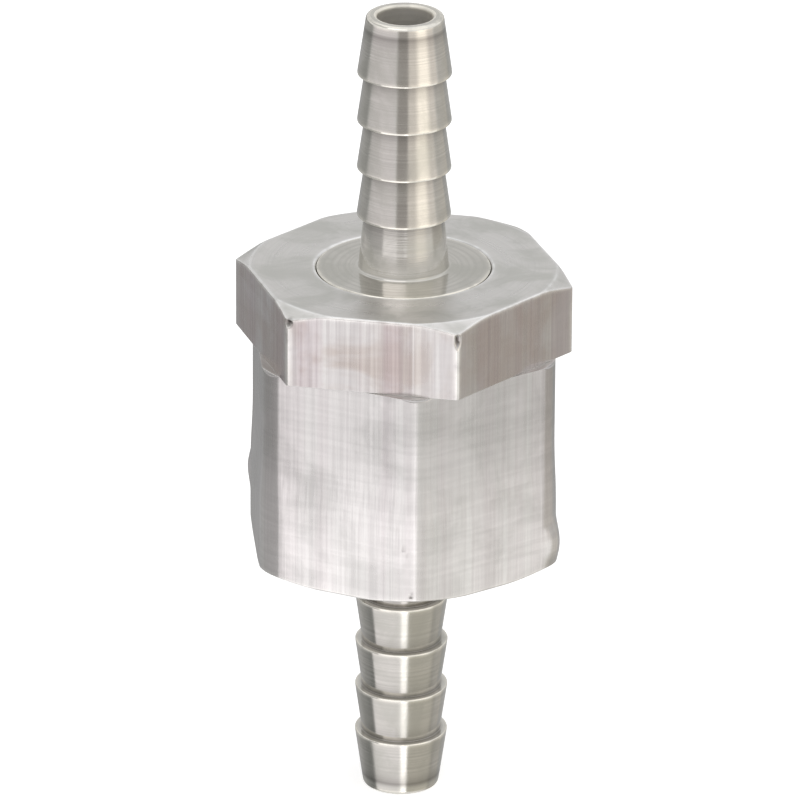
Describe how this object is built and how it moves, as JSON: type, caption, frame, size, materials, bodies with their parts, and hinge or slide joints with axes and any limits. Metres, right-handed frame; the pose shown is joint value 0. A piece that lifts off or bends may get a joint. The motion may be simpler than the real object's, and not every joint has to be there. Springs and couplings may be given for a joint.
{
  "type": "carbon dioxide line check valve",
  "caption": "In-line metal one-way valve with a flanged hexagonal body and a ribbed hose barb at each end, for a carbon dioxide line.",
  "frame": {"origin": "on the flow axis, midway between the two hose ends", "axes": "+Z along the gas flow, from the inlet barb to the outlet barb; two flats of the outlet flange's hexagon face -Y and +Y"},
  "size_m": [0.0254, 0.0236, 0.0614],
  "materials": {
    "body_metal": "drawn and milled hexagon bar with turned ends, satin",
    "barb_metal": "fine turned, bright",
    "valve_brass": "turned",
    "spring_steel": "drawn wire and stamped sheet",
    "seal_rubber": "moulded, matt",
    "seat_plastic": "machined white fluoropolymer"
  },
  "bodies": {
    "valve_body": {"upper_body": "body_metal", "lower_body": "body_metal", "body_seal": "seal_rubber", "outlet_barb": "barb_metal", "inlet_barb": "barb_metal", "outlet_barb_seal": "seal_rubber", "inlet_barb_seal": "seal_rubber", "valve_seat": "seat_plastic", "stem_guide": "valve_brass", "guide_circlip": "spring_steel", "poppet_spring": "spring_steel"},
    "poppet_group": {"poppet": "valve_brass", "poppet_seal": "seal_rubber"}
  },
  "joints": [
    {"name": "poppet_lift", "type": "slide", "parent": "valve_body", "child": "poppet_group", "axis": [0, 0, 1], "range_m": [0, 0.002], "stiffness_N_per_m": 120, "springref_m": -0.0025, "deforming": ["poppet_spring"]}
  ]
}
